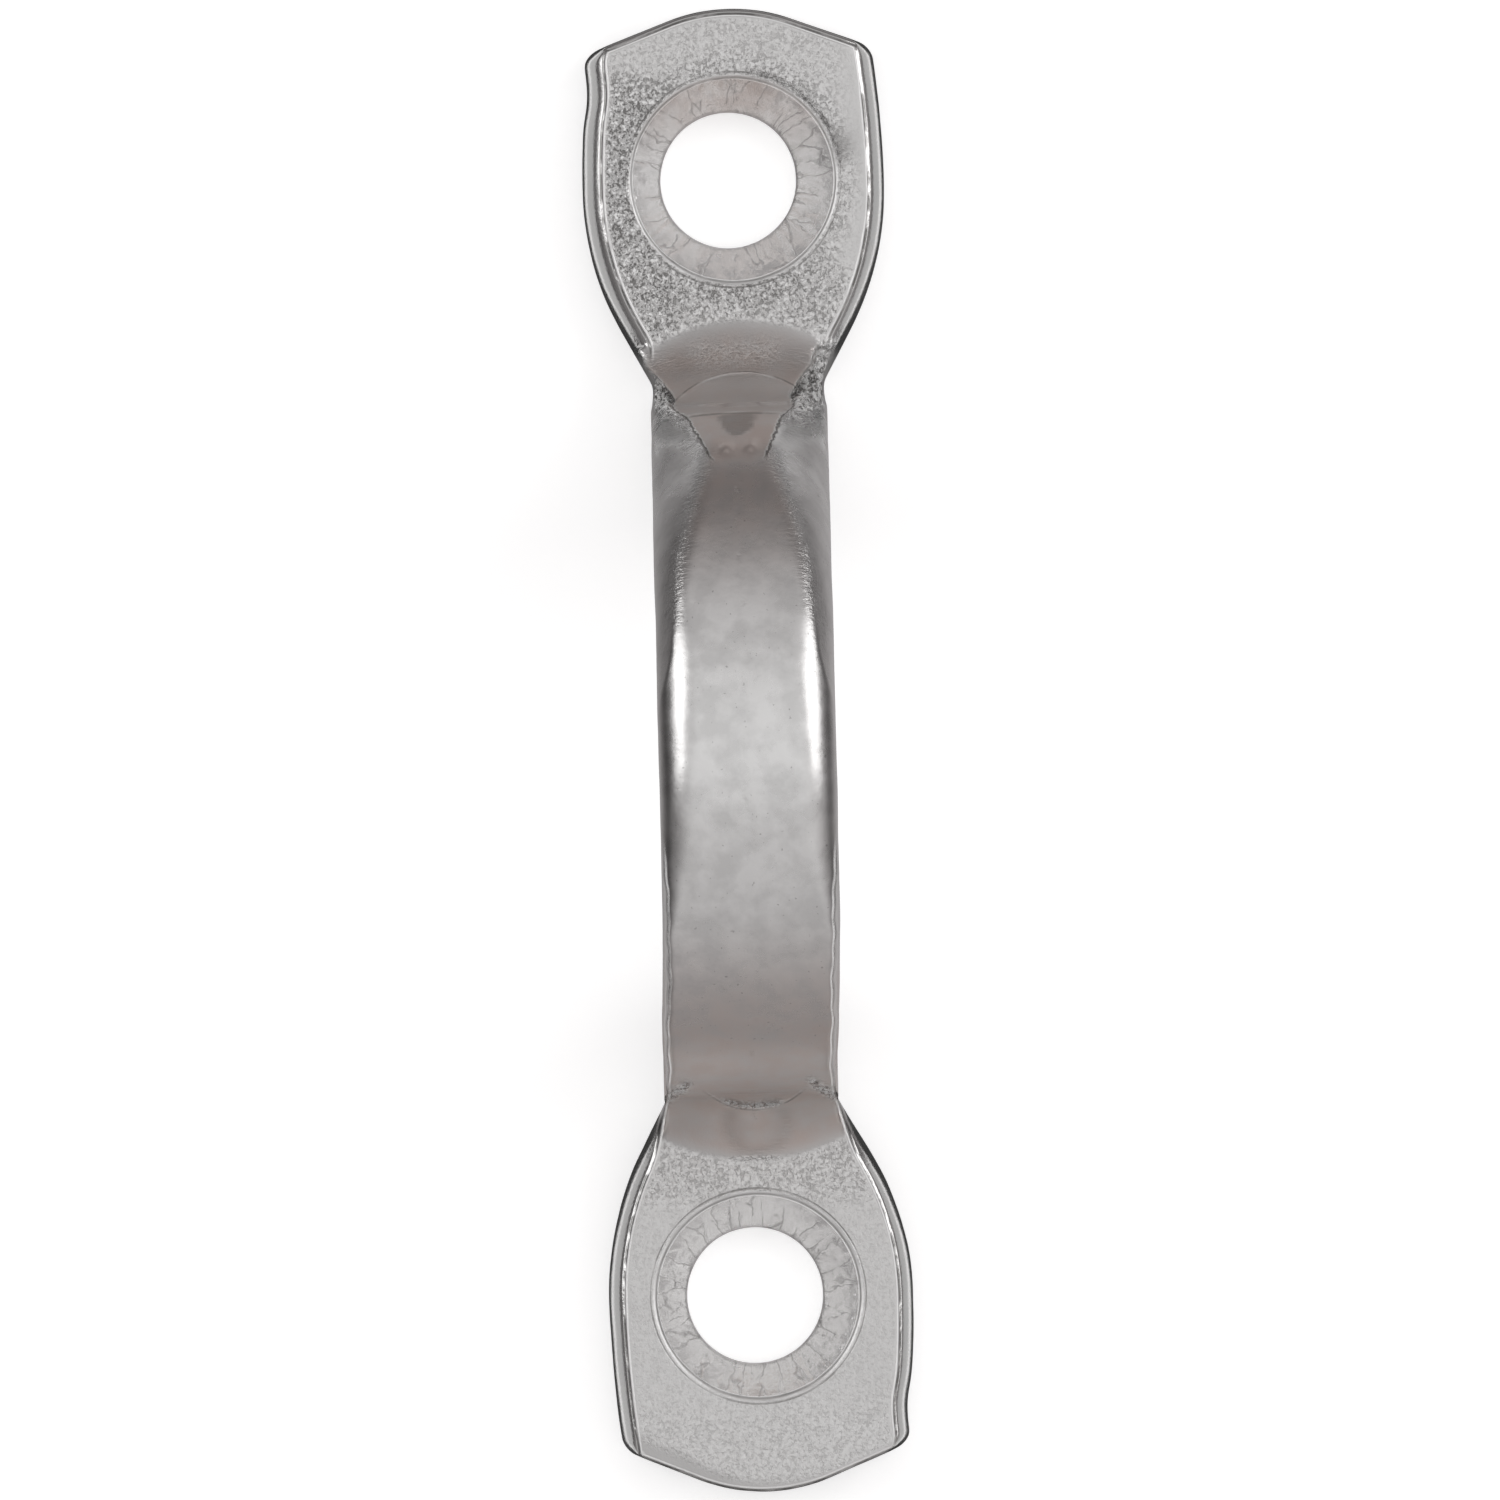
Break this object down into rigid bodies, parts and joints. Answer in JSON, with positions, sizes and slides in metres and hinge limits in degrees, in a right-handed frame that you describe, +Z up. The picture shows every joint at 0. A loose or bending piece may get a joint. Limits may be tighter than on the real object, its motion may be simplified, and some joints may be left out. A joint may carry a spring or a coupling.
{
  "type": "pad eye",
  "caption": "One-piece stainless pad eye: a bar bent into a bow, with both ends pressed flat into countersunk screw pads, for anchoring rope or shackles to a deck.",
  "frame": {"origin": "on the deck plane, at the bottom centre of the part's bounding box, under the middle of the bow", "axes": "+X along the part, from pad to pad, +Y across the bar, through the eye, +Z up from the deck"},
  "size_m": [0.06, 0.0122, 0.0204],
  "materials": {
    "stainless_steel": "tumbled satin stainless steel, polished on the bow, with a fine pitted press texture on the pads"
  },
  "bodies": {
    "root": {"pad_eye": "stainless_steel"}
  },
  "joints": []
}
